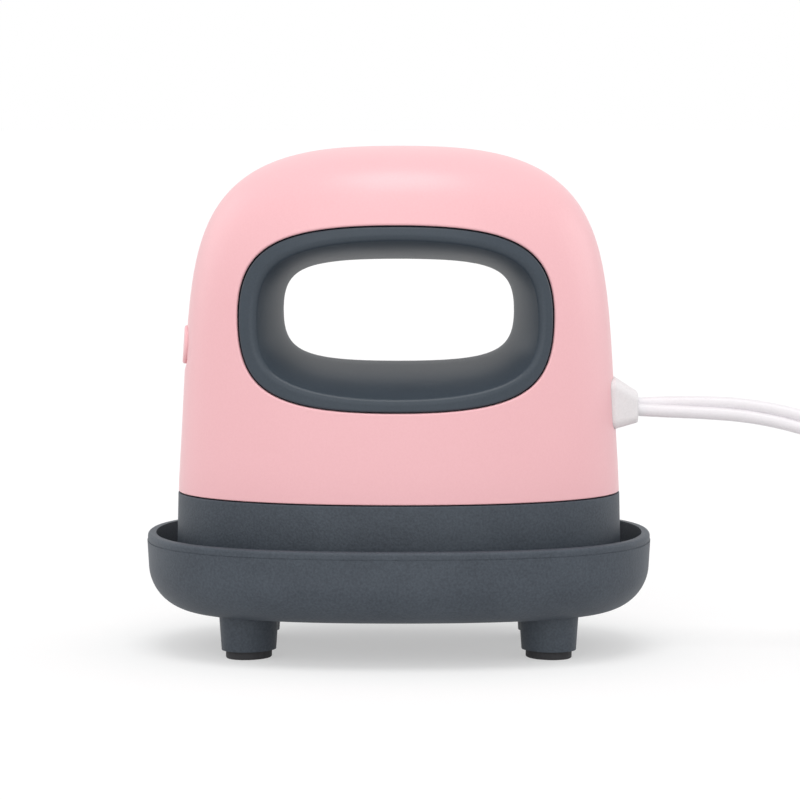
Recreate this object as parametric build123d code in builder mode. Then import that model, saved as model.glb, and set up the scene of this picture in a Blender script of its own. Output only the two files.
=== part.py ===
from build123d import *
import math
import os

# Mini handheld heat press, standing in its safety base. Millimetres, +Z up.
# The origin is on the table under the middle of the base. X runs along the length of the press,
# from the power button (-X) to the cord (+X), and -Y is the front.

os.makedirs("parts", exist_ok=True)

# ---------------------------------------------------------------- driving dimensions

# Heights, from the table up
pad_show = 2.2  # rubber foot pad under its foot
foot_drop = 8.8  # foot under the flat bottom of the base
base_height = 19.6  # flat bottom of the base to its rim
base_floor = 2.4
rest_thickness = 2.25  # silicone rest under the heating plate
plate_proud = 2.6  # heating plate under the collar
collar_height = 22.7
seam_gap = 0.3  # shadow gap between collar and housing
housing_height = 89.5

# Plan sizes. Each oval is a little squarer than an ellipse.
housing_half_width = 57.3  # at the seam
housing_half_depth = 32.5
collar_proud = 0.1  # collar outside the housing at the seam
collar_flare = 0.5
base_gap_x = 5.3  # collar to the base's inside, at the ends
base_gap_y = 8.2  # and at the front and rear
end_square = 0.58  # Bezier handles, as shares of the half depth and the half width
side_square = 0.60
base_end_square = 0.60
base_side_square = 0.74

# Walls
housing_wall = 2.2
collar_wall = 3.0
base_wall = 2.3
deck_thickness = 3.4
liner_wall = 1.8
parting_gap = 0.12  # between the front and rear halves
slip = 0.15  # around a part that drops into its seat
edge_round = 0.5
seam_round = 0.3  # edges either side of the shadow gap
lip_round = 1.8  # where the lip of the grip liner turns into its flare

# Side profile of the housing: a drafted wall that turns over into a crown
housing_draft = 0.053
crown_power = 6.27
crown_roundness = 2.83

# Hand hole
hole_rise = 47.0  # its middle above the seam
hole_half_width = 40.4
hole_half_height = 23.75
hole_top_square = 0.75
hole_bottom_square = 0.80
throat_half_width = 29.85
throat_half_height = 13.5
throat_square = 0.83
flare_radius_x = 44.2
flare_radius_z = 68.2
mouth_shift = -0.75  # middle of the hole's mouths from the throat's, towards the button
flare_lift = 0.95  # middle of the flare's mouths above the throat's
liner_gap = 0.35  # dark line between housing and liner
lip_width = 2.5
lip_thickness = 1.6

# Heating stack
plate_thickness = 10.0
plate_clearance = 1.2  # inside the collar's skirt
rod_radius = 3.25
pad_thickness = 5.5
pad_margin = 2.0  # insulation inside the edge of the plate
shield_thickness = 0.8
shield_rim = 3.0  # turned down over the insulation
plate_screw_radius = 1.5
plate_screw_head = 2.75
plate_screw_bite = 6.0  # thread in the plate
sensor_spread = 9.0  # thermistor and thermal fuse either side of the middle
sensor_wire_x = 18.0
wire_hole = 4.0

# Control board
board_stand = 6.1
board_thickness = 1.6
board_post_radius = 2.8

# Power button
button_rise = 38.1  # its middle above the seam
button_radius = 5.0
button_proud = 0.7
button_travel = 0.8
button_flange = 1.0
button_lip = 1.3  # flange past the button
button_recess = 0.5
switch_gap = 7.0  # wall to the switch board
switch_board_thickness = 1.2
lens_radius = 1.3
lens_rises = (12.0, 17.0, 22.0)  # level lights above the button

# Cord and strain relief
cord_rise = 21.8  # its middle above the seam
cord_width = 6.4
cord_thickness = 3.2
relief_length = 5.9
relief_base = 12.9
relief_tip = 7.6
relief_lift = 1.1  # middle of its base above the cord

# Screws
case_screw_radius = 1.4
case_screw_bite = 12.0  # thread in the front half
case_boss_radius = 4.0
case_head_radius = 2.6
collar_boss_radius = 3.2
collar_boss_height = 11.5
small_screw_radius = 1.1
small_head_radius = 2.1

# Coil of the put-away cord, on the table
coil_x = 157.0
coil_y = 3.0
coil_radius = 42.0  # middle of the outer turns
turn_step = 6.4
plug_length = 24.0
plug_width = 22.0
plug_thickness = 12.0

# ---------------------------------------------------------------- heights and places worked out

base_bottom = pad_show + foot_drop
base_inside = base_bottom + base_floor
base_rim = base_bottom + base_height
plate_bottom = base_inside + rest_thickness
plate_top = plate_bottom + plate_thickness
collar_bottom = plate_bottom + plate_proud
collar_top = collar_bottom + collar_height
deck_bottom = collar_top - deck_thickness
pad_top = plate_top + pad_thickness
shield_top = pad_top + shield_thickness
seam = collar_top + seam_gap
crown = seam + housing_height
hole_z = seam + hole_rise
button_z = seam + button_rise
cord_z = seam + cord_rise
board_bottom = collar_top + board_stand
board_top = board_bottom + board_thickness
plate_inset = collar_wall + plate_clearance - collar_proud - collar_flare
plate_half_width = housing_half_width - plate_inset
plate_half_depth = housing_half_depth - plate_inset
collar_out = collar_proud + collar_flare  # bottom of the collar outside the housing
base_half_width = housing_half_width + collar_out + base_gap_x + base_wall
base_half_depth = housing_half_depth + collar_out + base_gap_y + base_wall


def crown_share(rise, height):
    """Half width of the crown over that of the drafted wall, at a rise above the seam."""
    climb = max(0.0, rise) / height
    return (1 - climb**crown_power) ** (1 / crown_roundness)


def housing_reach(z, inset=0.0):
    """Half width of the housing's form at a height, drawn in by inset."""
    rise = z - seam
    share = crown_share(rise, housing_height - inset)
    return (housing_half_width - inset - housing_draft * rise) * share


def closed_loop(plane, loop):
    """A face inside four Bezier quarters that share their ends."""
    with BuildSketch(plane) as outline:
        with BuildLine():
            for first in range(0, 12, 3):
                Bezier(*loop[first : first + 4])
        make_face()
    return outline.sketch


def oval(plane, half_width, half_depth, side=side_square, end=end_square):
    """A closed oval, the same front and rear."""
    w, d = half_width, half_depth
    loop = [
        (w, 0), (w, end * d), (side * w, d), (0, d), (-side * w, d), (-w, end * d), (-w, 0),
        (-w, -end * d), (-side * w, -d), (0, -d), (side * w, -d), (w, -end * d), (w, 0),
    ]
    return closed_loop(plane, loop)


def base_oval(z, inset):
    """The safety base's outline at a height, drawn in by inset."""
    half_width, half_depth = base_half_width - inset, base_half_depth - inset
    return oval(Plane.XY.offset(z), half_width, half_depth, base_side_square, base_end_square)


def housing_form(inset, bottom):
    """The solid form of the housing, drawn in by inset, from a height up to the crown."""
    height = housing_height - inset
    rises = [bottom - seam, 0.16 * height, 0.31 * height]
    for degrees in (5, 13, 23, 33, 42, 51, 59, 66, 72, 77, 81, 84.5, 87, 88.7):
        rises.append(height * math.sin(math.radians(degrees)) ** (2 / crown_power))
    depth_share = (housing_half_depth - inset) / (housing_half_width - inset)
    sections = []
    for rise in rises:
        reach = housing_reach(seam + rise, inset)
        sections.append(oval(Plane.XY.offset(seam + rise), reach, reach * depth_share))
    with BuildPart() as form:
        loft(sections)
    return form.part


def hand_oval(middle, half_width, half_height, top, bottom):
    """An outline across the hand hole, seen from the front."""
    w, h = half_width, half_height
    loop = [
        (w, 0), (w, top * h), (top * w, h), (0, h), (-top * w, h), (-w, top * h), (-w, 0),
        (-w, -bottom * h), (-bottom * w, -h), (0, -h), (bottom * w, -h), (w, -bottom * h), (w, 0),
    ]
    return closed_loop(Plane(origin=middle, x_dir=(1, 0, 0), z_dir=(0, -1, 0)), loop)


def hole_form(grow):
    """The hand hole's outline, grown by a margin, right through the housing."""
    far = housing_half_depth + 5
    middle = (mouth_shift, far, hole_z)
    half_width, half_height = hole_half_width + grow, hole_half_height + grow
    with BuildPart() as form:
        extrude(hand_oval(middle, half_width, half_height, hole_top_square, hole_bottom_square), amount=2 * far)
    return form.part


def funnel_form(grow):
    """The hourglass way through the grip liner, grown by a wall."""
    sections = []
    for share in (-1, -0.75, -0.5, -0.25, 0, 0.25, 0.5, 0.75, 1):
        y = share * (housing_half_depth + 2)
        flare_x = flare_radius_x - math.sqrt(flare_radius_x**2 - y**2)
        flare_z = flare_radius_z - math.sqrt(flare_radius_z**2 - y**2)
        top = throat_square + (hole_top_square - throat_square) * share**2
        bottom = throat_square + (hole_bottom_square - throat_square) * share**2
        half_width = throat_half_width + grow + flare_x
        half_height = throat_half_height + grow + flare_z
        middle = (mouth_shift * share**2, y, hole_z + flare_lift * share**2)
        sections.append(hand_oval(middle, half_width, half_height, top, bottom))
    with BuildPart() as form:
        loft(sections)
    return form.part


def bend_radii(points):
    """A radius for each corner: 0.45 of its shorter run over the tangent of half its turn."""
    radii = []
    for before, corner, after in zip(points, points[1:], points[2:]):
        arriving = Vector(*corner) - Vector(*before)
        leaving = Vector(*after) - Vector(*corner)
        half_turn = math.radians(arriving.get_angle(leaving)) / 2
        radii.append(0.45 * min(arriving.length, leaving.length) / math.tan(half_turn))
    return radii


def tube(points, radius):
    """A round tube along straight runs joined by tangent arcs."""
    with BuildPart() as swept:
        with BuildLine() as path:
            FilletPolyline(*points, radius=bend_radii(points))
        with BuildSketch(Plane(origin=path.line @ 0, z_dir=path.line % 0)):
            Circle(radius)
        sweep()
    return swept.part


def skin_edges(builder):
    """Edges on the housing's outer skin, apart from those along the parting plane."""
    found = []
    for edge in builder.edges():
        points = [edge.position_at(share) for share in (0.2, 0.5, 0.8)]
        on_skin = all(min(face.distance_to(point) for face in outer_form.faces()) < 0.01 for point in points)
        if on_skin and max(abs(point.Y) for point in points) > 1:
            found.append(edge)
    return ShapeList(found)


def round_liner(builder):
    """Softens the lip's outer edge and turns its inner edge over into the flare."""
    for inner, radius in ((False, edge_round), (True, lip_round)):
        edges = ShapeList()
        for edge in skin_edges(builder):
            from_hole = min(face.distance_to(edge @ 0.5) for face in hole_outline.faces())
            if (from_hole > lip_width / 2) == inner:
                edges.append(edge)
        fillet(edges, radius)


def round_housing(builder):
    """Softens the edge round the hand hole and the edge along the seam."""
    low = hole_z - hole_half_height - slip
    high = hole_z + hole_half_height + slip
    reach = hole_half_width - mouth_shift + slip
    edges = skin_edges(builder).filter_by(lambda edge: abs(edge.center().X) < reach)
    fillet(edges.filter_by(lambda edge: low < edge.center().Z < high), edge_round)
    level_edges = builder.edges().filter_by(Plane.XY)
    seam_edges = level_edges.filter_by(lambda edge: abs(edge.center().Z - seam) < slip)
    fillet(seam_edges.sort_by(SortBy.LENGTH)[-1], seam_round)


def keep(builder, name):
    """Labels a finished piece and writes it."""
    builder.part.label = name
    export_step(builder.part, f"parts/{name}.step")


outer_form = housing_form(0, seam)
core_form = housing_form(housing_wall, seam - 5)
hole_outline = hole_form(0)

# ---------------------------------------------------------------- housing, two halves

upper_screw = (housing_half_width - 33.1, crown - 11.0)
lower_screw = (housing_half_width - 24.1, seam + 15.5)
case_screws = [(side * x, z) for side in (-1, 1) for x, z in (upper_screw, lower_screw)]
collar_screw_x = housing_half_width - 11.1
collar_screw_y = 9.0
collar_screws = [(x, y) for x in (-collar_screw_x, collar_screw_x) for y in (-collar_screw_y, collar_screw_y)]
tongue_height = 3.6  # collar tongue inside the housing
tongue_thickness = 1.6
web_thickness = 2.0
shelf_x = housing_half_width - 14.6  # shelf under the cord, across both halves
shelf_half_width = 3.5
shelf_thickness = 6.0
shelf_top = cord_z - cord_thickness / 2
clamp_screw_y = 7.0
board_edge = 8.0  # half width of the switch board, held by ribs on the rear half
switch_board_x = -housing_reach(button_z, housing_wall) + switch_gap
switch_board_low = button_z - 6.6
switch_board_high = button_z + lens_rises[-1] + 4.4
rib_height = 5.0

# The room inside is the core less what stands in it: bosses and their webs, the cord shelf and
# the ribs at the edge of the switch board.
with BuildPart() as room:
    add(core_form)
    with BuildSketch(Plane.XZ.offset(-housing_half_depth)):
        with Locations(*case_screws):
            Circle(case_boss_radius)
    extrude(amount=2 * housing_half_depth, mode=Mode.SUBTRACT)
    with BuildSketch(Plane.XY.offset(collar_top)):
        with Locations(*collar_screws):
            Circle(collar_boss_radius)
    extrude(amount=collar_boss_height, mode=Mode.SUBTRACT)
    with BuildSketch(Plane.XY.offset(collar_top + tongue_height + slip)):
        for x, y in collar_screws:
            with Locations((x * 1.15, y)):
                Rectangle(0.3 * collar_screw_x, web_thickness)
    extrude(amount=collar_boss_height - tongue_height - slip, mode=Mode.SUBTRACT)
    with BuildSketch(Plane.XY.offset(shelf_top)):
        with Locations((shelf_x, 0)):
            Rectangle(2 * shelf_half_width, 2 * housing_half_depth)
    extrude(amount=-shelf_thickness, mode=Mode.SUBTRACT)
    rib_x = switch_board_x + switch_board_thickness / 2
    for low in (switch_board_low + 2, switch_board_high - rib_height - 2):
        with BuildSketch(Plane.XY.offset(low)):
            with Locations((rib_x, board_edge + housing_half_depth / 2)):
                Rectangle(4.0, housing_half_depth)
        extrude(amount=rib_height, mode=Mode.SUBTRACT)

with BuildPart() as housing:
    add(outer_form)
    add(room.part, mode=Mode.SUBTRACT)
    add(hole_outline, mode=Mode.SUBTRACT)
    with BuildSketch(Plane.YZ.offset(-housing_half_width)):
        with Locations((0, button_z)):
            Circle(button_radius + 2 * slip)
        with Locations(*[(0, button_z + rise) for rise in lens_rises]):
            Circle(lens_radius + slip / 3)
    extrude(amount=collar_boss_radius + switch_gap, mode=Mode.SUBTRACT)
    with BuildSketch(Plane.YZ.offset(-housing_half_width)):
        with Locations((0, button_z)):
            Circle(button_radius + 1.6)
    extrude(amount=housing_half_width - housing_reach(button_z) + button_recess, mode=Mode.SUBTRACT)
    # Flat seat inside for the button's flange
    with BuildSketch(Plane.YZ.offset(-housing_reach(button_z, housing_wall))):
        with Locations((0, button_z)):
            Circle(button_radius + button_lip + 2 * slip)
    extrude(amount=switch_gap, mode=Mode.SUBTRACT)
    with BuildSketch(Plane.YZ.offset(housing_reach(cord_z) - 8)):
        with Locations((0, cord_z + relief_lift)):
            RectangleRounded(relief_base + 2 * slip, relief_base + 2 * slip, 2.5)
    extrude(amount=10, mode=Mode.SUBTRACT)
    with BuildSketch(Plane.XY.offset(collar_top)):
        with Locations(*collar_screws):
            Circle(case_screw_radius)
    extrude(amount=collar_boss_height - 2, mode=Mode.SUBTRACT)
    with BuildSketch(Plane.XY.offset(shelf_top)):
        with Locations((shelf_x, -clamp_screw_y), (shelf_x, clamp_screw_y)):
            Circle(small_screw_radius)
    extrude(amount=-shelf_thickness, mode=Mode.SUBTRACT)

with BuildPart() as housing_front:
    add(housing.part)
    split(bisect_by=Plane.XZ.offset(parting_gap / 2), keep=Keep.TOP)
    with BuildSketch(Plane.XZ):
        with Locations(*case_screws):
            Circle(case_screw_radius)
    extrude(amount=case_screw_bite + 2, mode=Mode.SUBTRACT)
    round_housing(housing_front)
keep(housing_front, "housing_front")

head_seat = 9.0  # face under the screw head, behind the parting plane
with BuildPart() as housing_rear:
    add(housing.part)
    split(bisect_by=Plane.XZ.offset(-parting_gap / 2), keep=Keep.BOTTOM)
    with BuildSketch(Plane.XZ):
        with Locations(*case_screws):
            Circle(case_screw_radius + slip)
    extrude(amount=-head_seat, mode=Mode.SUBTRACT)
    with BuildSketch(Plane.XZ.offset(-head_seat)):
        with Locations(*case_screws):
            Circle(case_head_radius + slip)
    extrude(amount=-housing_half_depth, mode=Mode.SUBTRACT)
    round_housing(housing_rear)
keep(housing_rear, "housing_rear")

# Four long screws from the back, with cross-recessed pan heads
with BuildPart() as housing_screws:
    with BuildSketch(Plane.XZ.offset(-head_seat)):
        with Locations(*case_screws):
            Circle(case_screw_radius)
    extrude(amount=head_seat + case_screw_bite)
    with BuildSketch(Plane.XZ.offset(-head_seat)):
        with Locations(*case_screws):
            Circle(case_head_radius)
    extrude(amount=-2.0)
    fillet(housing_screws.edges().group_by(Axis.Y)[-1], 0.6)
    with BuildSketch(Plane.XZ.offset(-head_seat - 2.0)):
        with Locations(*case_screws):
            Rectangle(2.6, 0.6)
            Rectangle(0.6, 2.6)
    extrude(amount=1.1, mode=Mode.SUBTRACT)
keep(housing_screws, "housing_screws")

# ---------------------------------------------------------------- grip liner, two halves

with BuildPart() as liner_lip:
    add(hole_form(lip_width))
    add(housing_form(housing_wall + slip, seam), mode=Mode.INTERSECT)

with BuildPart() as liner_hollow:
    add(housing_form(housing_wall + slip + lip_thickness, seam))
    add(funnel_form(liner_wall), mode=Mode.SUBTRACT)

with BuildPart() as grip_liner:
    add(hole_form(-liner_gap))
    add(outer_form, mode=Mode.INTERSECT)
    add(liner_lip.part)
    add(liner_hollow.part, mode=Mode.SUBTRACT)
    add(funnel_form(0), mode=Mode.SUBTRACT)

with BuildPart() as grip_liner_front:
    add(grip_liner.part)
    split(bisect_by=Plane.XZ.offset(parting_gap / 2), keep=Keep.TOP)
    round_liner(grip_liner_front)
keep(grip_liner_front, "grip_liner_front")

with BuildPart() as grip_liner_rear:
    add(grip_liner.part)
    split(bisect_by=Plane.XZ.offset(-parting_gap / 2), keep=Keep.BOTTOM)
    round_liner(grip_liner_rear)
keep(grip_liner_rear, "grip_liner_rear")

# ---------------------------------------------------------------- heat collar

collar_half_width = housing_half_width + collar_proud
collar_half_depth = housing_half_depth + collar_proud
plate_screws_x = plate_half_width - 8.5
plate_screws_y = plate_half_depth - 5.4
plate_screws = [(-plate_screws_x, 0), (plate_screws_x, 0), (0, -plate_screws_y), (0, plate_screws_y)]
rod_spread = plate_screws_y - 8.5  # legs of the heating rod either side of the middle
rod_end = plate_half_width - 31.5
rod_ends = [(rod_end, -rod_spread), (rod_end, rod_spread)]
board_half_length = housing_half_width - 21.1
board_half_width = plate_screws_y - plate_screw_head - 0.75
board_posts = [
    (x * (board_half_length - 5), y * (board_half_width - 5)) for x in (-1, 1) for y in (-1, 1)
]
sensor_wires = [(-sensor_wire_x, 0), (sensor_wire_x, 0)]


def collar_oval(z, inset):
    """The collar's oval at a height, drawn in by inset."""
    flare = collar_flare * (collar_top - z) / collar_height
    return oval(Plane.XY.offset(z), collar_half_width + flare - inset, collar_half_depth + flare - inset)


with BuildPart() as heat_collar:
    loft([collar_oval(collar_bottom, 0), collar_oval(collar_top, 0)])
    fillet(heat_collar.edges().group_by(Axis.Z)[-1], seam_round)
    fillet(heat_collar.edges().group_by(Axis.Z)[0], 0.9)
    loft([collar_oval(collar_bottom, collar_wall), collar_oval(deck_bottom, collar_wall)], mode=Mode.SUBTRACT)
    tongue_inset = housing_wall + slip
    half_width, half_depth = housing_half_width - tongue_inset, housing_half_depth - tongue_inset
    extrude(oval(Plane.XY.offset(collar_top), half_width, half_depth), amount=tongue_height)
    inside = oval(Plane.XY.offset(collar_top), half_width - tongue_thickness, half_depth - tongue_thickness)
    extrude(inside, amount=tongue_height, mode=Mode.SUBTRACT)
    with BuildSketch(Plane.XY.offset(shield_top)):
        with Locations(*plate_screws):
            Circle(plate_screw_radius + 2)
    extrude(amount=deck_bottom - shield_top)
    with BuildSketch(Plane.XY.offset(collar_top)):
        with Locations(*board_posts):
            Circle(board_post_radius)
    extrude(amount=board_stand)
    with BuildSketch(Plane.XY.offset(collar_bottom)):
        with Locations(*plate_screws):
            Circle(plate_screw_radius + slip)
        with Locations(*collar_screws):
            Circle(case_screw_radius + slip)
        with Locations(*rod_ends, *sensor_wires):
            Circle(wire_hole)
    extrude(amount=collar_height, mode=Mode.SUBTRACT)
    with BuildSketch(Plane.XY.offset(board_bottom)):
        with Locations(*board_posts):
            Circle(small_screw_radius)
    extrude(amount=-board_stand, mode=Mode.SUBTRACT)
keep(heat_collar, "heat_collar")

# Screws up through the deck into the housing's bosses
with BuildPart() as collar_screws_group:
    with BuildSketch(Plane.XY.offset(deck_bottom)):
        with Locations(*collar_screws):
            Circle(case_screw_radius)
    extrude(amount=deck_thickness + collar_boss_height - 3)
    with BuildSketch(Plane.XY.offset(deck_bottom)):
        with Locations(*collar_screws):
            Circle(case_head_radius)
    extrude(amount=-2.0)
    fillet(collar_screws_group.edges().group_by(Axis.Z)[0], 0.6)
keep(collar_screws_group, "collar_screws")

# ---------------------------------------------------------------- heating plate and what is on it

rod_z = plate_top - rod_radius - slip
rod_lift = collar_top + 2.0  # tips of the rod
channel = rod_radius + slip

with BuildPart() as heating_plate:
    extrude(oval(Plane.XY.offset(plate_bottom), plate_half_width, plate_half_depth), amount=plate_thickness)
    fillet(heating_plate.edges().group_by(Axis.Z)[0], 1.2)
    with BuildSketch(Plane.XY.offset(plate_top)):
        with Locations((0, 0)):
            SlotCenterToCenter(2 * rod_end, 2 * (rod_spread + channel))
            SlotCenterToCenter(2 * rod_end, 2 * (rod_spread - channel), mode=Mode.SUBTRACT)
        with Locations((2 * rod_end, 0)):
            Rectangle(2 * rod_end - 2 * channel, 4 * rod_spread, mode=Mode.SUBTRACT)
    extrude(amount=-2 * channel, mode=Mode.SUBTRACT)
    with BuildSketch(Plane.XY.offset(plate_top)):
        with Locations(*plate_screws):
            Circle(plate_screw_radius)
    extrude(amount=-plate_screw_bite, mode=Mode.SUBTRACT)
keep(heating_plate, "heating_plate")

# A sheathed rod bent into a U, its two ends turned up through the insulation
with BuildPart() as heating_element:
    with BuildLine() as rod_path:
        FilletPolyline(
            (rod_end, rod_spread, rod_lift),
            (rod_end, rod_spread, rod_z),
            (-rod_end - rod_spread, rod_spread, rod_z),
            (-rod_end - rod_spread, -rod_spread, rod_z),
            (rod_end, -rod_spread, rod_z),
            (rod_end, -rod_spread, rod_lift),
            radius=[2 * rod_radius, 0.999 * rod_spread, 0.999 * rod_spread, 2 * rod_radius],
        )
    with BuildSketch(Plane(origin=rod_path.line @ 0, z_dir=rod_path.line % 0)):
        Circle(rod_radius)
    sweep()
keep(heating_element, "heating_element")

sensor_window_length = 4 * sensor_spread
sensor_window_width = 11.0
with BuildPart() as insulation_pad:
    pad_half_width, pad_half_depth = plate_half_width - pad_margin, plate_half_depth - pad_margin
    extrude(oval(Plane.XY.offset(plate_top), pad_half_width, pad_half_depth), amount=pad_thickness)
    with BuildSketch(Plane.XY.offset(plate_top)):
        with Locations(*plate_screws):
            Circle(plate_screw_radius + 2 * slip)
        with Locations(*rod_ends):
            Rectangle(2 * wire_hole + rod_radius, 2 * wire_hole)
        RectangleRounded(sensor_window_length + 2 * wire_hole, sensor_window_width, 3)
    extrude(amount=pad_thickness, mode=Mode.SUBTRACT)
keep(insulation_pad, "insulation_pad")

with BuildPart() as heat_shield:
    rim_inset = pad_margin - slip - shield_thickness
    rim_plane = Plane.XY.offset(pad_top - shield_rim)
    half_width, half_depth = plate_half_width - rim_inset, plate_half_depth - rim_inset
    extrude(oval(rim_plane, half_width, half_depth), amount=shield_rim + shield_thickness)
    fillet(heat_shield.edges().group_by(Axis.Z)[-1], 0.7)
    half_width, half_depth = half_width - shield_thickness, half_depth - shield_thickness
    extrude(oval(rim_plane, half_width, half_depth), amount=shield_rim, mode=Mode.SUBTRACT)
    with BuildSketch(Plane.XY.offset(pad_top)):
        with Locations(*plate_screws):
            Circle(plate_screw_radius + 2 * slip)
        with Locations(*rod_ends, *sensor_wires):
            Circle(wire_hole)
    extrude(amount=2 * shield_thickness, mode=Mode.SUBTRACT)
keep(heat_shield, "heat_shield")

# Long screws down through the deck and its posts into the plate
with BuildPart() as plate_screws_group:
    with BuildSketch(Plane.XY.offset(collar_top)):
        with Locations(*plate_screws):
            Circle(plate_screw_radius)
    extrude(amount=plate_top - plate_screw_bite + 0.3 - collar_top)
    with BuildSketch(Plane.XY.offset(collar_top)):
        with Locations(*plate_screws):
            Circle(plate_screw_head)
    extrude(amount=2.2)
    fillet(plate_screws_group.edges().group_by(Axis.Z)[-1], 0.7)
keep(plate_screws_group, "plate_screws")

# Thermistor and thermal fuse lie along the plate, each under a strap
thermistor_radius = 1.6
fuse_radius = 2.0
strap_width = 5.0
strap_thickness = 0.6

with BuildPart() as thermistor:
    with BuildSketch(Plane.YZ.offset(-sensor_spread - 4)):
        with Locations((0, plate_top + thermistor_radius)):
            Circle(thermistor_radius)
    extrude(amount=8)
keep(thermistor, "thermistor")

with BuildPart() as thermal_fuse:
    with BuildSketch(Plane.YZ.offset(sensor_spread - 5)):
        with Locations((0, plate_top + fuse_radius)):
            Circle(fuse_radius)
    extrude(amount=10)
keep(thermal_fuse, "thermal_fuse")

with BuildPart() as sensor_straps:
    for x, radius in ((-sensor_spread, thermistor_radius), (sensor_spread, fuse_radius)):
        with BuildSketch(Plane.YZ.offset(x - strap_width / 2)):
            with Locations((0, plate_top + strap_thickness / 2)):
                Rectangle(sensor_window_width - 1, strap_thickness)
            with Locations((0, plate_top + radius)):
                Circle(radius + strap_thickness)
            with Locations((0, plate_top + radius / 2)):
                Rectangle(2 * (radius + strap_thickness), radius)
            with Locations((0, plate_top + radius)):
                Circle(radius, mode=Mode.SUBTRACT)
            with Locations((0, plate_top + radius / 2)):
                Rectangle(2 * radius, radius, mode=Mode.SUBTRACT)
            with Locations((0, plate_top - radius)):
                Rectangle(4 * radius, 2 * radius, mode=Mode.SUBTRACT)
        extrude(amount=strap_width)
keep(sensor_straps, "sensor_straps")

# ---------------------------------------------------------------- control board

with BuildPart() as control_board:
    with BuildSketch(Plane.XY.offset(board_bottom)):
        RectangleRounded(2 * board_half_length, 2 * board_half_width, 3)
        with Locations(*board_posts):
            Circle(small_screw_radius + slip, mode=Mode.SUBTRACT)
    extrude(amount=board_thickness)
keep(control_board, "control_board")

with BuildPart() as board_screws:
    with BuildSketch(Plane.XY.offset(board_top)):
        with Locations(*board_posts):
            Circle(small_screw_radius)
    extrude(amount=-board_thickness - board_stand + 1)
    with BuildSketch(Plane.XY.offset(board_top)):
        with Locations(*board_posts):
            Circle(small_head_radius)
    extrude(amount=1.6)
    fillet(board_screws.edges().group_by(Axis.Z)[-1], 0.5)
keep(board_screws, "board_screws")

relay_x = -9.0
relay_length = 15.5
with BuildPart() as relay:
    with BuildSketch(Plane.XY.offset(board_top)):
        with Locations((relay_x, 1)):
            Rectangle(relay_length, 19)
    extrude(amount=12)
    fillet(relay.edges().filter_by(Axis.Z), 0.8)
    fillet(relay.edges().group_by(Axis.Z)[-1], 0.5)
keep(relay, "relay")

with BuildPart() as film_capacitor:
    with BuildSketch(Plane.XY.offset(board_top)):
        with Locations((7, -9)):
            Rectangle(11, 6)
    extrude(amount=9)
    fillet(film_capacitor.edges().filter_by(Axis.Z), 0.6)
keep(film_capacitor, "film_capacitor")

with BuildPart() as bulk_capacitor:
    with BuildSketch(Plane.XY.offset(board_top)):
        with Locations((6, 5)):
            Circle(4)
    extrude(amount=10)
    fillet(bulk_capacitor.edges().group_by(Axis.Z)[-1], 0.6)
keep(bulk_capacitor, "bulk_capacitor")

chip_length = 7.0
chip_gap = 1.95  # to the relay
with BuildPart() as controller_chip:
    with BuildSketch(Plane.XY.offset(board_top)):
        with Locations((relay_x - relay_length / 2 - chip_gap - chip_length / 2, -7)):
            Rectangle(chip_length, 5)
    extrude(amount=1.6)
keep(controller_chip, "controller_chip")

terminal_x = 17.5
terminal_height = 8.0
wire_spread = 2.8
with BuildPart() as terminal_block:
    with BuildSketch(Plane.XY.offset(board_top)):
        with Locations((terminal_x, 0)):
            Rectangle(8, 12)
    extrude(amount=terminal_height)
    chamfer(terminal_block.edges().group_by(Axis.Z)[-1].sort_by(Axis.X)[0], 1.5)
keep(terminal_block, "terminal_block")

# ---------------------------------------------------------------- power button and its switch

button_wall = -housing_reach(button_z, housing_wall)
button_back = button_wall + slip + button_flange
switch_height = 3.5
plunger_reach = 0.8
plunger_tip = switch_board_x - switch_height - plunger_reach
spring_wire = 0.35

with BuildPart() as power_button:
    with BuildSketch(Plane.YZ.offset(-housing_half_width)):
        with Locations((0, button_z)):
            Circle(button_radius)
    extrude(amount=housing_half_width + button_wall + slip)
    add(housing_form(-button_proud, seam), mode=Mode.INTERSECT)
    fillet(power_button.edges().group_by(Axis.X)[0], 0.6)
    with BuildSketch(Plane.YZ.offset(button_wall + slip)):
        with Locations((0, button_z)):
            Circle(button_radius + button_lip)
    extrude(amount=button_flange)
    with BuildSketch(Plane.YZ.offset(button_back)):
        with Locations((0, button_z)):
            Circle(2.5)
    extrude(amount=plunger_tip - button_travel - slip - button_back)
keep(power_button, "power_button")

spring_length = switch_board_x - button_back - button_travel - 0.3
with BuildPart() as button_spring:
    with BuildLine() as coils:
        Helix(
            pitch=(spring_length - 2 * spring_wire) / 3,
            height=spring_length - 2 * spring_wire,
            radius=button_radius - 0.2,
            center=(button_back + spring_wire, 0, button_z),
            direction=(1, 0, 0),
        )
    with BuildSketch(Plane(origin=coils.line @ 0, z_dir=coils.line % 0)):
        Circle(spring_wire)
    sweep()
keep(button_spring, "button_spring")

with BuildPart() as switch_board:
    with BuildSketch(Plane.YZ.offset(switch_board_x)):
        with Locations((0, (switch_board_low + switch_board_high) / 2)):
            RectangleRounded(2 * board_edge, switch_board_high - switch_board_low, 1.5)
    extrude(amount=switch_board_thickness)
keep(switch_board, "switch_board")

with BuildPart() as tact_switch:
    with BuildSketch(Plane.YZ.offset(switch_board_x)):
        with Locations((0, button_z)):
            Rectangle(6, 6)
    extrude(amount=-switch_height)
    with BuildSketch(Plane.YZ.offset(switch_board_x - switch_height)):
        with Locations((0, button_z)):
            Circle(1.7)
    extrude(amount=-plunger_reach)
keep(tact_switch, "tact_switch")

light_height = 1.2
with BuildPart() as level_lights:
    with BuildSketch(Plane.YZ.offset(switch_board_x)):
        with Locations(*[(0, button_z + rise) for rise in lens_rises]):
            Rectangle(2.6, 2.6)
    extrude(amount=-light_height)
keep(level_lights, "level_lights")

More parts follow.
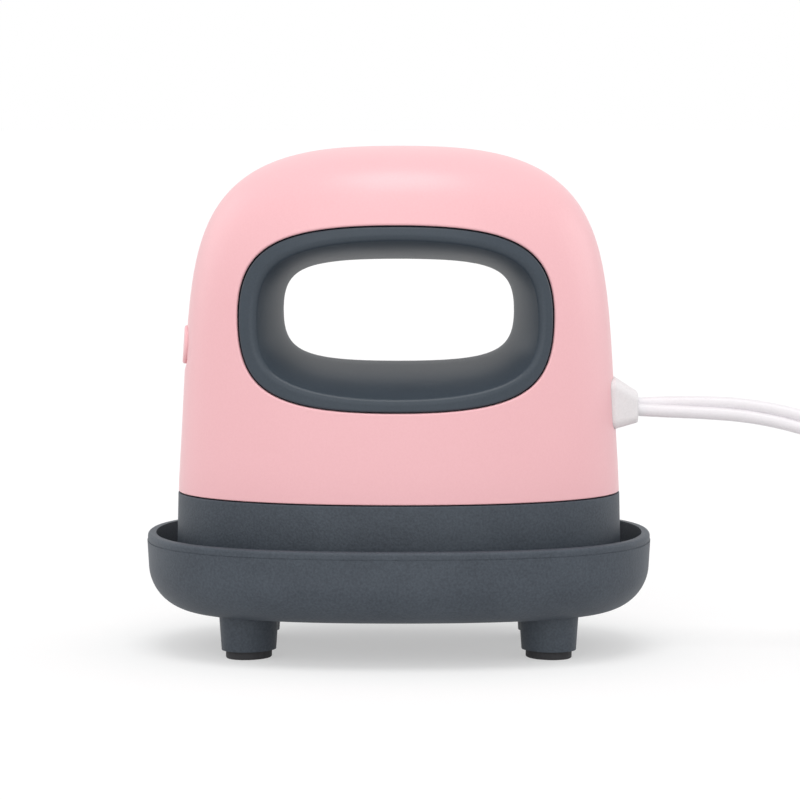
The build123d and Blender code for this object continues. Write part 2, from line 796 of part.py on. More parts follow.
with BuildPart() as level_lenses:
    with BuildSketch(Plane.YZ.offset(switch_board_x - light_height - 0.3)):
        with Locations(*[(0, button_z + rise) for rise in lens_rises]):
            Circle(lens_radius)
    extrude(amount=-housing_half_width)
    add(outer_form, mode=Mode.INTERSECT)
keep(level_lenses, "level_lenses")

# ---------------------------------------------------------------- cord, from the strain relief to the board

relief_x = housing_reach(cord_z)
cord_exit = relief_x + relief_length
flange_x = relief_x - housing_wall - 4.8
relief_round = 2.5

with BuildPart() as strain_relief:
    with BuildSketch(Plane.YZ.offset(relief_x)):
        with Locations((0, cord_z + relief_lift)):
            RectangleRounded(relief_base, relief_base, relief_round)
    with BuildSketch(Plane.YZ.offset(cord_exit)):
        with Locations((0, cord_z)):
            RectangleRounded(relief_tip + 1.6, relief_tip, relief_round - 0.5)
    loft()
    fillet(strain_relief.edges().group_by(Axis.X)[-1], 0.7)
    with BuildSketch(Plane.YZ.offset(flange_x)):
        with Locations((0, cord_z + relief_lift)):
            RectangleRounded(relief_base, relief_base, relief_round)
    extrude(amount=relief_x - flange_x)
    with BuildSketch(Plane.YZ.offset(flange_x)):
        with Locations((0, cord_z + relief_lift)):
            RectangleRounded(relief_base + 4, relief_base + 4, relief_round)
    extrude(amount=-2.0)
    with BuildSketch(Plane.YZ.offset(cord_exit)):
        with Locations((0, cord_z)):
            SlotOverall(cord_width + slip, cord_thickness + slip)
    extrude(amount=-relief_x, mode=Mode.SUBTRACT)
keep(strain_relief, "strain_relief")

cord_split = shelf_x - shelf_half_width - 1  # where the two cores part
with BuildPart() as cord_inner:
    with BuildSketch(Plane.YZ.offset(cord_split)):
        with Locations((0, cord_z)):
            SlotOverall(cord_width, cord_thickness)
    extrude(amount=cord_exit - cord_split)
keep(cord_inner, "cord_inner")

clamp_thickness = 2.5
with BuildPart() as cord_clamp:
    with BuildSketch(Plane.XY.offset(shelf_top + cord_thickness)):
        with Locations((shelf_x, 0)):
            RectangleRounded(2 * shelf_half_width - 1, 2 * clamp_screw_y + 6, 2)
            with Locations((0, -clamp_screw_y), (0, clamp_screw_y)):
                Circle(small_screw_radius + slip, mode=Mode.SUBTRACT)
    extrude(amount=clamp_thickness)
keep(cord_clamp, "cord_clamp")

with BuildPart() as clamp_screws:
    head_z = shelf_top + cord_thickness + clamp_thickness
    with BuildSketch(Plane.XY.offset(head_z)):
        with Locations((shelf_x, -clamp_screw_y), (shelf_x, clamp_screw_y)):
            Circle(small_screw_radius)
    extrude(amount=-clamp_thickness - cord_thickness - shelf_thickness + 1)
    with BuildSketch(Plane.XY.offset(head_z)):
        with Locations((shelf_x, -clamp_screw_y), (shelf_x, clamp_screw_y)):
            Circle(small_head_radius)
    extrude(amount=1.6)
    fillet(clamp_screws.edges().group_by(Axis.Z)[-1], 0.5)
keep(clamp_screws, "clamp_screws")

# Wires, each in its own insulation
supply_wire = 1.0
sensor_wire = 0.5
heater_wire = 0.9

with BuildPart() as supply_leads:
    for side in (-1, 1):
        core_y = side * cord_width / 4
        wire_y = side * wire_spread
        route = [
            (cord_split, core_y, cord_z),
            (cord_split - 5, core_y, cord_z),
            (cord_split - 10, wire_y, cord_z),
            (terminal_x, wire_y, cord_z),
            (terminal_x, wire_y, board_top + terminal_height),
        ]
        add(tube(route, supply_wire))
keep(supply_leads, "supply_leads")

with BuildPart() as heater_leads:
    with BuildSketch(Plane.XY.offset(rod_lift)):
        with Locations(*rod_ends):
            Circle(heater_wire)
    extrude(amount=board_bottom - rod_lift)
keep(heater_leads, "heater_leads")

with BuildPart() as sensor_leads:
    for side, end, radius in ((-1, 4, thermistor_radius), (1, 5, fuse_radius)):
        z = plate_top + radius
        start = (side * (sensor_spread + end), 0, z)
        add(tube([start, (side * sensor_wire_x, 0, z), (side * sensor_wire_x, 0, board_bottom)], sensor_wire))
keep(sensor_leads, "sensor_leads")

with BuildPart() as switch_leads:
    for side in (-1, 1):
        x = switch_board_x + switch_board_thickness
        high, low = switch_board_low + 3, (board_bottom + board_top) / 2
        route = [
            (x, side * 2, high),
            (x + 4, side * 2, high),
            (x + 5, side * 2.5, (high + low) / 2),
            (x + 5.5, side * 3, low),
            (-board_half_length, side * 3, low),
        ]
        add(tube(route, sensor_wire))
keep(switch_leads, "switch_leads")

# ---------------------------------------------------------------- safety base

rim_band = 2.0  # above the fine groove round the outside
rim_step = 0.15
groove_height = 0.25
groove_depth = 0.2
base_draft = 1.0
rim_round = 0.8
base_round = 11.5
line_z = base_rim - rim_band
foot_x = base_half_width - 26.9
foot_y = base_half_depth - 26.4
foot_angle = 40.0
foot_long, foot_short = 7.9, 6.9
foot_draft = 0.5
pad_inset = 1.6  # pad inside the foot
pad_seat = 1.3
foot_slope = math.tan(math.radians(foot_angle))
feet = []
for side, end in ((1, 1), (-1, 1), (-1, -1), (1, -1)):
    feet.append(Plane(origin=(side * foot_x, end * foot_y, 0), x_dir=(side, end * foot_slope, 0)))

base_room_round = base_round - base_wall
with BuildPart() as base_room:
    loft([base_oval(base_inside, base_wall + base_draft), base_oval(base_rim, base_wall)])
    fillet(base_room.edges().group_by(Axis.Z)[0], base_room_round)

with BuildPart() as base_tray:
    loft([base_oval(base_bottom, base_draft), base_oval(line_z, 0)])
    fillet(base_tray.edges().group_by(Axis.Z)[0], base_round)
    extrude(base_oval(line_z, groove_depth), amount=rim_band)
    extrude(base_oval(line_z + groove_height, rim_step), amount=rim_band - groove_height)
    fillet(base_tray.edges().group_by(Axis.Z)[-1], rim_round)
    for foot in feet:
        with BuildSketch(foot.offset(pad_show)):
            Ellipse(foot_long - foot_draft, foot_short - foot_draft)
        with BuildSketch(foot.offset(base_inside + 3)):
            Ellipse(foot_long + foot_draft, foot_short + foot_draft)
        loft()
    add(base_room.part, mode=Mode.SUBTRACT)
    for foot in feet:
        with BuildSketch(foot.offset(pad_show)):
            Ellipse(foot_long - pad_inset + slip, foot_short - pad_inset + slip)
        extrude(amount=pad_seat, mode=Mode.SUBTRACT)
keep(base_tray, "base_tray")

with BuildPart() as foot_pads:
    for foot in feet:
        with BuildSketch(foot):
            Ellipse(foot_long - pad_inset, foot_short - pad_inset)
        extrude(amount=pad_show + pad_seat)
    fillet(foot_pads.edges().group_by(Axis.Z)[0], 0.5)
keep(foot_pads, "foot_pads")

rest_radius = 6.0
rest_spacing_x = 2 * (plate_half_width - 23.5)
rest_spacing_y = 2 * (plate_half_depth - 14.9)
with BuildPart() as rest_pads:
    with BuildSketch(Plane.XY.offset(base_inside)):
        with GridLocations(rest_spacing_x, rest_spacing_y, 2, 2):
            Circle(rest_radius)
    extrude(amount=rest_thickness)
keep(rest_pads, "rest_pads")

# ---------------------------------------------------------------- power cord, coil and plug

# From the strain relief, round in front of the coil and down on to its outer turn
cord_route = [
    (cord_exit + 0.3, 0, cord_z),
    (78.0, 0, cord_z),
    (94.0, -0.9, 62.3),
    (110.2, -3.9, 58.6),
    (124.2, -13.6, 53.9),
    (132.8, -28.4, 50.0),
    (140.9, -39.3, 42.4),
    (153.9, -46.3, 33.4),
    (171.6, -46.3, 22.3),
    (186.4, -37.4, 13.5),
    (196.0, -21.7, 8.3),
    (198.6, -2.7, 8.0),
]
power_cord = tube(cord_route, cord_width / 2)
power_cord.label = "power_cord"
export_step(power_cord, "parts/power_cord.step")

inner_turn = coil_radius - 2 * turn_step
coil_inside = inner_turn - turn_step / 2
coil_outside = coil_radius + turn_step / 2
tie_width = 9.0
tie_thickness = 1.0
tie_edge = tie_thickness + slip

coil_axis = Axis((coil_x, coil_y, 0), (0, 0, 1))
two_high, three_high = 2 * cord_thickness, 3 * cord_thickness
with BuildPart() as cord_coil:
    with BuildSketch(Plane(origin=(coil_x, coil_y, 0), x_dir=(1, 0, 0), z_dir=(0, -1, 0))):
        with BuildLine():
            Polyline(
                (coil_inside, 0),
                (coil_outside, 0),
                (coil_outside, three_high),
                (coil_outside - turn_step, three_high),
                (coil_outside - turn_step, two_high),
                (coil_inside, two_high),
                close=True,
            )
        make_face()
    revolve(axis=coil_axis)
    fillet(cord_coil.edges().filter_by(GeomType.CIRCLE), 1.2)
    # A waist for the tie, all round the bundle
    tie_plane = Plane(origin=(coil_x - tie_width / 2, coil_y, 0), x_dir=(0, 1, 0), z_dir=(1, 0, 0))
    with BuildSketch(tie_plane):
        with Locations(((coil_inside + coil_outside) / 2, three_high / 2)):
            Rectangle(coil_outside - coil_inside + 2, three_high + 2)
            RectangleRounded(
                coil_outside - coil_inside - 2 * tie_edge,
                three_high - 2 * tie_edge,
                1,
                mode=Mode.SUBTRACT,
            )
    extrude(amount=tie_width, mode=Mode.SUBTRACT)
keep(cord_coil, "cord_coil")

with BuildPart() as cord_tie:
    with BuildSketch(tie_plane.offset(slip)):
        with Locations(((coil_inside + coil_outside) / 2, three_high / 2)):
            RectangleRounded(coil_outside - coil_inside, three_high, 2)
            RectangleRounded(
                coil_outside - coil_inside - 2 * tie_thickness,
                three_high - 2 * tie_thickness,
                1,
                mode=Mode.SUBTRACT,
            )
    extrude(amount=tie_width - 2 * slip)
keep(cord_tie, "cord_tie")

# The last turn runs straight off the coil into the plug
plug_x = 196.0  # where the cord enters the plug's tail
plug_y = -40.0
tail_length = 12.0
blade_length = 17.5
blade_width = 6.3
blade_thickness = 1.5
blade_spacing = 12.7
plug_z = plug_thickness / 2
plug_route = [
    (160.0, coil_y - coil_radius, cord_width / 2),
    (172.0, -39.4, 3.5),
    (184.0, plug_y, plug_z),
    (plug_x, plug_y, plug_z),
]
plug_lead = tube(plug_route, cord_width / 2)
plug_lead.label = "plug_lead"
export_step(plug_lead, "parts/plug_lead.step")

with BuildPart() as plug_body:
    with BuildSketch(Plane.YZ.offset(plug_x)):
        with Locations((plug_y, plug_z)):
            RectangleRounded(cord_width + 2.4, cord_width + 1.6, 3)
    with BuildSketch(Plane.YZ.offset(plug_x + tail_length)):
        with Locations((plug_y, plug_z)):
            RectangleRounded(plug_width - 6, plug_thickness - 1, 4)
    loft()
    with BuildSketch(Plane.YZ.offset(plug_x + tail_length)):
        with Locations((plug_y, plug_z)):
            RectangleRounded(plug_width, plug_thickness, 4.5)
    extrude(amount=plug_length)
    fillet(plug_body.edges().group_by(Axis.X)[-1], 1.5)
keep(plug_body, "plug_body")

with BuildPart() as plug_blades:
    with BuildSketch(Plane.YZ.offset(plug_x + tail_length + plug_length)):
        with Locations((plug_y - blade_spacing / 2, plug_z), (plug_y + blade_spacing / 2, plug_z)):
            Rectangle(blade_thickness, blade_width)
    extrude(amount=blade_length)
    chamfer(plug_blades.edges().group_by(Axis.X)[-1], 0.4)
keep(plug_blades, "plug_blades")

for name, route in (("power_cord", cord_route), ("plug_lead", plug_route)):
    radii = bend_radii(route)
    print(name, "bend radii", [round(radius, 1) for radius in radii])
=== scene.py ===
import math

import bpy
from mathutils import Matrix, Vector


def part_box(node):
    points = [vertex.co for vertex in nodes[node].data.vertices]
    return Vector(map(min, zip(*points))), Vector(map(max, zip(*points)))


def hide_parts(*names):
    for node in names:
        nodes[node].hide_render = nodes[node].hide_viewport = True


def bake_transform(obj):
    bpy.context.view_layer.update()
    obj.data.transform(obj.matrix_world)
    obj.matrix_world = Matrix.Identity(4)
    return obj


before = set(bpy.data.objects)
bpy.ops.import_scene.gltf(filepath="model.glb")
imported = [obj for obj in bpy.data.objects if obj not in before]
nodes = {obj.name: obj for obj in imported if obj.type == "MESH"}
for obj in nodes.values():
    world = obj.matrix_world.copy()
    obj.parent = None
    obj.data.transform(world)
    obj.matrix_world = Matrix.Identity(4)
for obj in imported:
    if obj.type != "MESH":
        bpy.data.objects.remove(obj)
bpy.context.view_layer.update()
MM = 0.001
scene = bpy.context.scene

# ---------------------------------------------------------------- camera
# A long lens, square on to the front of the press and looking a little down on the table, so
# that the inside of the safety base shows only at its ends.

camera_distance = 1200 * MM
camera_pitch = math.radians(5.9)
aim = Vector((0.3, 0, 64.8)) * MM
camera_data = bpy.data.cameras.new("camera")
camera_data.sensor_width = 36
camera_data.lens = 207.7
camera = bpy.data.objects.new("camera", camera_data)
away = Vector((0, -math.cos(camera_pitch), math.sin(camera_pitch)))
camera.location = aim + camera_distance * away
camera.rotation_euler = (math.pi / 2 - camera_pitch, 0, 0)
scene.collection.objects.link(camera)
scene.camera = camera
scene.view_settings.view_transform = "Standard"

# ---------------------------------------------------------------- mains cord
# A flat twin cord in white PVC: two round strands with a thin web between them. It leaves the
# strain relief turned a little from flat, rolls on to its edge and over on its way down, and is
# put away in a coil that a strap holds, with the plug lying beside it.

cord_width = 6.4 * MM
strand_radius = 1.66 * MM
strand_offset = cord_width / 2 - strand_radius  # from the cord's middle
crease = math.radians(50)  # edges sharper than this, where a strand meets the web, stay crisp
exit_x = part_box("strain_relief")[1].x
cord_z = (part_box("cord_inner")[0].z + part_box("cord_inner")[1].z) / 2
sleeved = 0.8  # mm of it that start inside the strain relief

# Listed points down to the coil, near those of the cord's solid
down_route = [
    (exit_x / MM - sleeved, 0, cord_z / MM),
    (78.0, 0, cord_z / MM),
    (94.0, -0.9, 61.9),
    (110.2, -3.9, 57.9),
    (124.2, -13.6, 53.9),
    (132.8, -28.4, 50.0),
    (140.9, -39.3, 42.4),
    (153.9, -46.3, 33.4),
    (171.6, -46.3, 22.3),
    (186.4, -37.4, 13.5),
    (196.0, -21.7, 8.3),
    (199.1, -2.8, 8.0),
]

# Off the coil's last turn, along the table and up into the tail of the plug
plug_route = [
    (168.0, -42.0, 3.2),
    (180.0, -41.3, 4.0),
    (189.0, -40.0, 6.0),
    (196.5, -40.0, 6.0),
]

# The first turn lies flat on top of the coil, winds in and drops inside it. From there the cord
# stands on edge in a flat spiral, the easy way for it to bend, and comes off on the outside
coil_x, coil_y = 157.0, 3.0
top_radius, top_height = 42.0, 8.0
inner_radius, edge_height = 27.85, cord_width / MM / 2
turn_pitch = 3.1  # from turn to turn of the spiral
landing = math.degrees(math.atan2(down_route[-1][1] - coil_y, down_route[-1][0] - coil_x))
winding_in = (200.0, 390.0)  # degrees round the coil from +X, counted on past each full turn
dropping = (380.0, 450.0)
full_turns = 6
leaving = 270.0 + full_turns * 360  # at the front, where the plug lies
turn_points = 20  # control points in each turn
tie_angle, tie_squeeze = 90.0, 0.88  # the share of its height that the strap leaves the coil
tie_half, tie_reach = 6.0, 30.0  # degrees to each side that are pressed fully, and at all


def smooth(value, low, high):
    """0 below low, 1 above high and a smooth step between."""
    share = min(1.0, max(0.0, (value - low) / (high - low)))
    return share * share * (3 - 2 * share)


def coil_place(angle):
    """Radius and height of the winding at an angle, drawn together under the strap."""
    radius = top_radius + (inner_radius - top_radius) * smooth(angle, *winding_in)
    radius += turn_pitch * max(0, angle - dropping[1]) / 360
    height = top_height + (edge_height - top_height) * smooth(angle, *dropping)
    off_tie = abs((angle - tie_angle + 180) % 360 - 180)
    squeeze = tie_squeeze + (1 - tie_squeeze) * smooth(off_tie, tie_half, tie_reach)
    half_way_up = (top_height + strand_radius / MM) / 2
    ring_middle = inner_radius + turn_pitch * (leaving - dropping[1]) / 360 / 2
    # The strap draws the turns together by half as much as it presses them down
    radius = ring_middle + (radius - ring_middle) * (1 + squeeze) / 2
    return radius, half_way_up + (height - half_way_up) * squeeze


def coil_points():
    """Control points of the winding, just outside the turns that they draw."""
    sweep = leaving - landing
    count = round(sweep / 360 * turn_points)
    step = sweep / (count + 0.5)  # the last half step leads over to the plug's route
    found = []
    for number in range(1, count + 1):
        angle = landing + number * step
        radius, height = coil_place(angle)
        radius /= math.cos(math.radians(step / 2))
        turned = math.radians(angle)
        across, back = radius * math.cos(turned), radius * math.sin(turned)
        found.append((coil_x + across, coil_y + back, height))
    return found


def spline_line(name, points, resolution):
    """The smooth line of a NURBS spline with these control points, in metres."""
    curve = bpy.data.curves.new(name, "CURVE")
    curve.dimensions = "3D"
    curve.resolution_u = resolution
    spline = curve.splines.new("NURBS")
    spline.points.add(len(points) - 1)
    for point, place in zip(spline.points, points):
        point.co = (place[0] * MM, place[1] * MM, place[2] * MM, 1)
    spline.order_u = 3
    spline.use_endpoint_u = True
    guide = bpy.data.objects.new(name, curve)
    mesh = bpy.data.meshes.new_from_object(guide)
    line = [vertex.co.copy() for vertex in mesh.vertices]
    bpy.data.objects.remove(guide)
    return line


def twin_section():
    """Outline of the two strands and their web, long way along the first axis."""
    crease_angle = math.acos(strand_offset / strand_radius)
    strand_points = 15
    outline = []
    for side in (1, -1):
        for number in range(strand_points):
            share = number / (strand_points - 1)
            angle = (math.pi - crease_angle) * (2 * share - 1)
            across = side * (strand_offset + strand_radius * math.cos(angle))
            outline.append((across, side * strand_radius * math.sin(angle)))
    return outline


def mesh_object(name, vertices, faces):
    """A new mesh object in the scene, shaded smooth."""
    mesh = bpy.data.meshes.new(name)
    mesh.from_pydata(vertices, [], faces)
    mesh.validate()
    for polygon in mesh.polygons:
        polygon.use_smooth = True
    made = bpy.data.objects.new(name, mesh)
    scene.collection.objects.link(made)
    return made


exit_turn, standing_turn = 23.0, 70.0  # degrees from lying flat, at the exit and once it stands up
stands_up = 42 * MM  # the cord stands nearly on edge this far from the exit
turns_over = [  # from, to, and how many degrees the cord turns over between them
    (stands_up, 170 * MM, 180 - standing_turn),
    (440 * MM, 490 * MM, -90),
    (1745 * MM, 1775 * MM, 90),
]


def cord_turn(travelled):
    """How far the cord has turned over at a length from the exit, in radians."""
    share = min(1.0, travelled / stands_up)
    turned = exit_turn + (standing_turn - exit_turn) * (1 - (1 - share) ** 2)  # fastest at the exit
    for start, end, change in turns_over:
        turned += change * smooth(travelled, start, end)
    return math.radians(turned)


def sweep_cord(name, line):
    """A tube of the twin section along a line, level but for its turning over."""
    outline = twin_section()
    vertices, faces = [], []
    travelled = 0.0
    for number, place in enumerate(line):
        before = line[max(0, number - 1)]
        after = line[min(len(line) - 1, number + 1)]
        travelled += (place - before).length
        along = (after - before).normalized()
        level = Vector((0, 0, 1)).cross(along).normalized()
        upright = along.cross(level)
        turned = cord_turn(travelled)
        long_way = level * math.cos(turned) + upright * math.sin(turned)
        short_way = along.cross(long_way)
        for across, high in outline:
            vertices.append(place + long_way * across + short_way * high)
    size = len(outline)
    for ring in range(len(line) - 1):
        for corner in range(size):
            following = (corner + 1) % size
            first, second = ring * size, (ring + 1) * size
            faces.append((first + corner, first + following, second + following, second + corner))
    faces.append(tuple(reversed(range(size))))
    faces.append(tuple(range((len(line) - 1) * size, len(line) * size)))
    return mesh_object(name, vertices, faces)


cord_line = spline_line("cord_line", down_route + coil_points() + plug_route, resolution=6)
mains_cord = sweep_cord("mains_cord", cord_line)
mains_cord.data.set_sharp_from_angle(angle=crease)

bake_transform(mains_cord)
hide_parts("power_cord", "cord_coil", "plug_lead")


def colour(code):
    """An sRGB hex colour as the linear values that shaders take."""
    found = []
    for place in (1, 3, 5):
        value = int(code[place : place + 2], 16) / 255
        found.append(value / 12.92 if value <= 0.04045 else ((value + 0.055) / 1.055) ** 2.4)
    return (*found, 1.0)


def add_node(tree, kind, links=None, **settings):
    """Adds a node: settings are its properties or socket values, links its inputs' sources."""
    made = tree.nodes.new(kind)
    for name, value in settings.items():
        if hasattr(made, name):
            setattr(made, name, value)
    for name, value in settings.items():
        if not hasattr(made, name):
            made.inputs[name.replace("_", " ")].default_value = value
    for socket, source in (links or {}).items():
        tree.links.new(source, made.inputs[socket])
    return made


def new_material(name):
    """An empty material and its node tree."""
    material = bpy.data.materials.new(name)
    material.use_nodes = True
    material.node_tree.nodes.clear()
    return material, material.node_tree


def dress(material, *names):
    """Puts a material on CAD nodes."""
    for name in names:
        for slot in nodes[name].material_slots:
            slot.material = material


def moulded_plastic(name, light, dark, patch_mm, grain_mm, depth_mm, roughness, **shader):
    """A moulded plastic: soft patches between two colours, and a grain that the mould leaves.

    The grain gives the surface its bump and a little unevenness of gloss. A blasted tool's own
    grain is under 0.1 mm, too fine to show, so grain_mm is as coarse as it needs to be.
    """
    patch_low, patch_high = 0.35, 0.65  # where nearly all of the noise lies
    grain_low, grain_high = 0.3, 0.7
    patch_share = 0.3  # of the colour's change; the grain has the rest
    gloss_spread = 0.02
    material, tree = new_material(name)
    place = add_node(tree, "ShaderNodeTexCoord").outputs["Object"]
    patches = add_node(
        tree, "ShaderNodeTexNoise", {"Vector": place}, Scale=1 / (patch_mm * MM), Detail=3.0
    )
    grain = add_node(
        tree, "ShaderNodeTexNoise", {"Vector": place}, Scale=1 / (grain_mm * MM), Detail=2.0
    )
    spread = add_node(
        tree,
        "ShaderNodeMapRange",
        {"Value": patches.outputs["Fac"]},
        From_Min=patch_low,
        From_Max=patch_high,
    )
    fleck = add_node(
        tree,
        "ShaderNodeMapRange",
        {"Value": grain.outputs["Fac"]},
        From_Min=grain_low,
        From_Max=grain_high,
    )
    blotch = add_node(tree, "ShaderNodeMath", {0: spread.outputs[0]}, operation="MULTIPLY")
    blotch.inputs[1].default_value = patch_share
    both = add_node(
        tree,
        "ShaderNodeMath",
        {0: fleck.outputs[0], 2: blotch.outputs[0]},
        operation="MULTIPLY_ADD",
    )
    both.inputs[1].default_value = 1 - patch_share
    tint = add_node(tree, "ShaderNodeMix", {"Factor": both.outputs[0]}, data_type="RGBA")
    tint.inputs["A"].default_value = colour(dark)
    tint.inputs["B"].default_value = colour(light)
    gloss = add_node(tree, "ShaderNodeMapRange", {"Value": fleck.outputs[0]})
    gloss.inputs["To Min"].default_value = roughness - gloss_spread
    gloss.inputs["To Max"].default_value = roughness + gloss_spread
    bump = add_node(
        tree,
        "ShaderNodeBump",
        {"Height": grain.outputs["Fac"]},
        Distance=depth_mm * MM,
        Strength=1.0,
    )
    principled = add_node(
        tree,
        "ShaderNodeBsdfPrincipled",
        {
            "Base Color": tint.outputs["Result"],
            "Roughness": gloss.outputs[0],
            "Normal": bump.outputs[0],
        },
        **shader,
    )
    add_node(tree, "ShaderNodeOutputMaterial", {"Surface": principled.outputs[0]})
    return material


# Extruded smooth, so it is the glossiest of the white pieces
cord_pvc = moulded_plastic(
    "cord_pvc", "#ebe8eb", "#e6e3e6",
    patch_mm=9, grain_mm=0.5, depth_mm=0.003, roughness=0.32, IOR=1.5,
)
mains_cord.data.materials.append(cord_pvc)
dress(cord_pvc, "cord_inner", "power_cord", "cord_coil", "plug_lead")

# ---------------------------------------------------------------- strap and plug
# A black woven strap closed on itself holds the coil, matt and coarse. The plug is moulded on to
# the cord in the same white PVC, a little duller, and its blades are nickel-plated brass.

tie_strap = moulded_plastic(
    "woven_strap", "#242426", "#17171a",
    patch_mm=1.2, grain_mm=0.6, depth_mm=0.12, roughness=0.75, IOR=1.5,
)
dress(tie_strap, "cord_tie")
plug_pvc = moulded_plastic(
    "plug_pvc", "#efecee", "#e6e3e6",
    patch_mm=7, grain_mm=0.45, depth_mm=0.012, roughness=0.4, IOR=1.53,
)
dress(plug_pvc, "plug_body")


def metal(name, light, dark, grain_mm, stretch, depth_mm, roughness):
    """A bare or plated metal with a fine drawn or cast grain, stretched along X."""
    gloss_spread = 0.07
    material, tree = new_material(name)
    place = add_node(tree, "ShaderNodeTexCoord").outputs["Object"]
    drawn = add_node(tree, "ShaderNodeMapping", {"Vector": place})
    drawn.inputs["Scale"].default_value = (1 / stretch, 1, 1)
    grain = add_node(
        tree,
        "ShaderNodeTexNoise",
        {"Vector": drawn.outputs[0]},
        Scale=1 / (grain_mm * MM),
        Detail=4.0,
    )
    tint = add_node(tree, "ShaderNodeMix", {"Factor": grain.outputs["Fac"]}, data_type="RGBA")
    tint.inputs["A"].default_value = colour(dark)
    tint.inputs["B"].default_value = colour(light)
    gloss = add_node(tree, "ShaderNodeMapRange", {"Value": grain.outputs["Fac"]})
    gloss.inputs["To Min"].default_value = roughness - gloss_spread
    gloss.inputs["To Max"].default_value = roughness + gloss_spread
    bump = add_node(
        tree,
        "ShaderNodeBump",
        {"Height": grain.outputs["Fac"]},
        Distance=depth_mm * MM,
        Strength=1.0,
    )
    principled = add_node(
        tree,
        "ShaderNodeBsdfPrincipled",
        {
            "Base Color": tint.outputs["Result"],
            "Roughness": gloss.outputs[0],
            "Normal": bump.outputs[0],
        },
        Metallic=1.0,
    )
    add_node(tree, "ShaderNodeOutputMaterial", {"Surface": principled.outputs[0]})
    return material


nickel = metal(
    "nickel_plate", "#d9d4c8", "#c9c3b6",
    grain_mm=0.4, stretch=12, depth_mm=0.003, roughness=0.22,
)
dress(nickel, "plug_blades")

# ---------------------------------------------------------------- strain relief
# A white four-sided tapered sleeve in soft PVC, moulded round the cord and held by its flange
# behind the housing wall. Its faces are duller than the cord.

relief_pvc = moulded_plastic(
    "relief_pvc", "#e9e6e7", "#e1dedf",
    patch_mm=6, grain_mm=0.5, depth_mm=0.02, roughness=0.5, IOR=1.53,
)
dress(relief_pvc, "strain_relief")

# ---------------------------------------------------------------- housing
# Two halves moulded in pink ABS from a finely blasted tool, which leaves a satin skin with a
# broad, soft highlight. Screws from the back draw them together.

satin_abs = moulded_plastic(
    "satin_abs", "#f4bdc2", "#f1b8bd",
    patch_mm=40, grain_mm=0.5, depth_mm=0.01, roughness=0.34, IOR=1.54,
)
dress(satin_abs, "housing_front", "housing_rear")
# Zinc-plated steel: a dull silver, faintly clouded
zinc = metal(
    "zinc_plate", "#c3c4c0", "#a9aaa6",
    grain_mm=0.5, stretch=1, depth_mm=0.01, roughness=0.35,
)
dress(zinc, "housing_screws", "collar_screws", "plate_screws", "board_screws", "clamp_screws")

# ---------------------------------------------------------------- hand hole liner
# Slate-grey ABS in two halves that meet in the throat, smoother than the collar. The lip is
# polished and catches a line of light where it turns into the flare; the throat is left duller.

liner_abs = moulded_plastic(
    "liner_abs", "#434b54", "#3e464e",
    patch_mm=12, grain_mm=0.5, depth_mm=0.006, roughness=0.35, IOR=1.4, Specular_IOR_Level=0.33,
)
throat_end, polish_start = 6 * MM, 26 * MM  # from the middle of the press to the front or back
throat_dulled, lip_polished = 0.11, -0.05  # added to the roughness
liner_tree = liner_abs.node_tree
skin = liner_tree.nodes["Principled BSDF"]
place = add_node(liner_tree, "ShaderNodeTexCoord").outputs["Object"]
deep = add_node(liner_tree, "ShaderNodeSeparateXYZ", {"Vector": place})
off_middle = add_node(liner_tree, "ShaderNodeMath", {0: deep.outputs["Y"]}, operation="ABSOLUTE")
dulled = add_node(liner_tree, "ShaderNodeMapRange", {"Value": off_middle.outputs[0]})
dulled.inputs["From Min"].default_value = throat_end
dulled.inputs["From Max"].default_value = polish_start
dulled.inputs["To Min"].default_value = throat_dulled
dulled.inputs["To Max"].default_value = lip_polished
polish = skin.inputs["Roughness"].links[0].from_socket
rough = add_node(
    liner_tree, "ShaderNodeMath", {0: polish, 1: dulled.outputs[0]}, operation="ADD"
)
liner_tree.links.new(rough.outputs[0], skin.inputs["Roughness"])
dress(liner_abs, "grip_liner_front", "grip_liner_rear")

# ---------------------------------------------------------------- heat collar and safety base
# Glass-filled nylon that stands the heat, from a spark-eroded tool: a matt, grainy slate grey
# with paler flecks where the fibres reach the skin.

grained_nylon = moulded_plastic(
    "grained_nylon", "#485059", "#353c45",
    patch_mm=14, grain_mm=0.6, depth_mm=0.08, roughness=0.55, IOR=1.45,
)
dress(grained_nylon, "heat_collar", "base_tray")

# ---------------------------------------------------------------- foot pads and rest pads
# Black rubber plugs, dull and slightly dusty, are pressed into the feet and keep the base from
# sliding. Grey silicone discs with a milky skin stand inside and carry the hot plate.

foot_rubber = moulded_plastic(
    "foot_rubber", "#363639", "#2c2c2f",
    patch_mm=3, grain_mm=0.6, depth_mm=0.05, roughness=0.75, IOR=1.52,
)
dress(foot_rubber, "foot_pads")
silicone = moulded_plastic(
    "silicone_pads", "#a5a5a1", "#98988f",
    patch_mm=4, grain_mm=0.8, depth_mm=0.03, roughness=0.6, IOR=1.43,
)
dress(silicone, "rest_pads")

# ---------------------------------------------------------------- heating plate and element
# Cast aluminium, turned flat and coated with a dark non-stick layer that has a fine fleck. The
# element in it is a sheathed steel rod, and a fibre pad and a pressed sheet keep its heat down.

plate_coating = moulded_plastic(
    "nonstick_coating", "#46464a", "#2f2f32",
    patch_mm=1.4, grain_mm=0.35, depth_mm=0.02, roughness=0.38, IOR=1.6,
)
dress(plate_coating, "heating_plate")
# Steel that was heated: clouded straw and blue
element_steel = metal(
    "heated_steel", "#a8998a", "#7d7886",
    grain_mm=6, stretch=1, depth_mm=0.004, roughness=0.34,
)
dress(element_steel, "heating_element")
